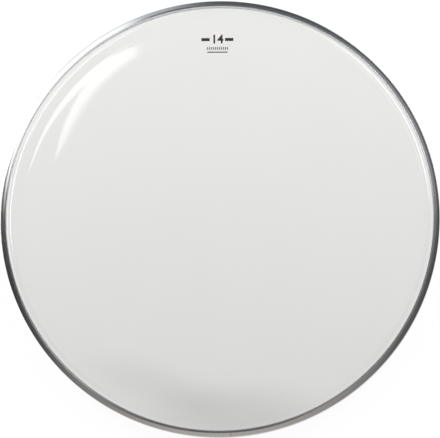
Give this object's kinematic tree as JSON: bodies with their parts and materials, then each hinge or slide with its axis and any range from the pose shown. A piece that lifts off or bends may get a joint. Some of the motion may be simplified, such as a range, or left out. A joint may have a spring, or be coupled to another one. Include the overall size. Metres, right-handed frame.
{
  "type": "drum head",
  "caption": "Round drum head: a clear film with a formed collar, its folded edge cast with resin into a polished aluminium hoop, stretched over a drum shell by a counterhoop.",
  "frame": {"origin": "middle of the plane that the hoop's outer wall stands on, below the centre of the film", "axes": "+Z out of the playing face, +Y towards the size mark printed near its edge"},
  "size_m": [0.37, 0.37, 0.017],
  "materials": {
    "film": "clear gloss",
    "hoop": "polished",
    "weld": "ground",
    "resin": "cast",
    "print": "printed ink"
  },
  "bodies": {
    "root": {"drum_film": "film", "flesh_hoop": "hoop", "hoop_seam_weld": "weld", "casting_resin": "resin"}
  },
  "joints": []
}
